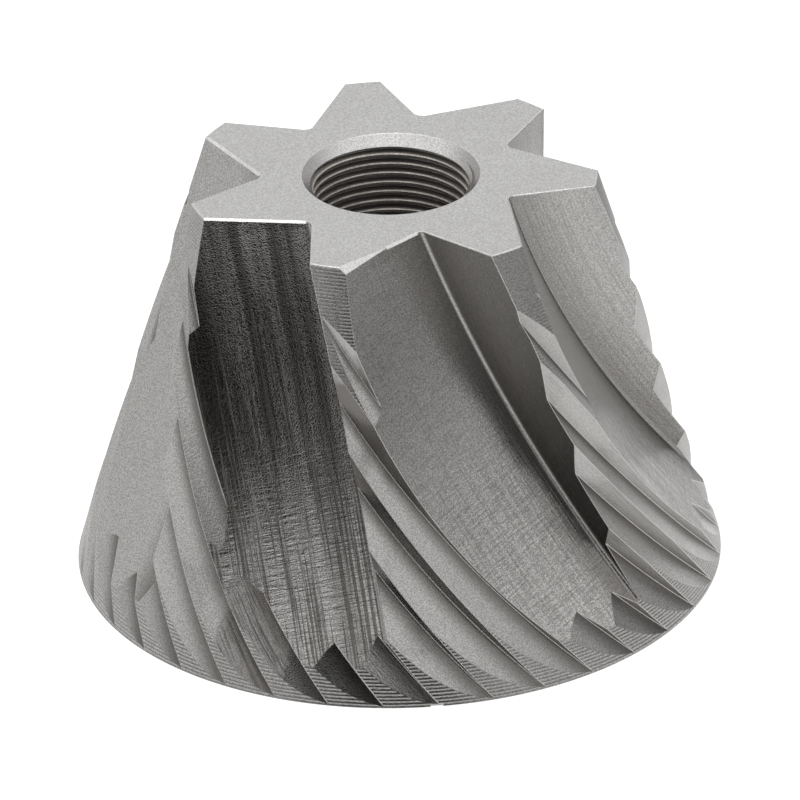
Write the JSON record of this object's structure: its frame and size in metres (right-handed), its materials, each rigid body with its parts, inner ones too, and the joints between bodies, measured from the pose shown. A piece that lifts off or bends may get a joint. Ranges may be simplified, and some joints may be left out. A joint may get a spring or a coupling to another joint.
{
  "type": "conical coffee grinder burr",
  "caption": "Conical inner burr for a coffee grinder: a steel cone with deep twisted flutes, fine helical grooves and a finely threaded bore along its axis.",
  "frame": {"origin": "centre of the flat base, on the axis of the bore", "axes": "+Z along the bore axis from the base to the small end; the flutes stand as in the picture when the burr is seen along +Y"},
  "size_m": [0.063, 0.063, 0.0411],
  "materials": {
    "burr_steel": "machined hardened steel, satin, with milling and turning marks"
  },
  "bodies": {
    "root": {"conical_burr": "burr_steel"}
  },
  "joints": []
}
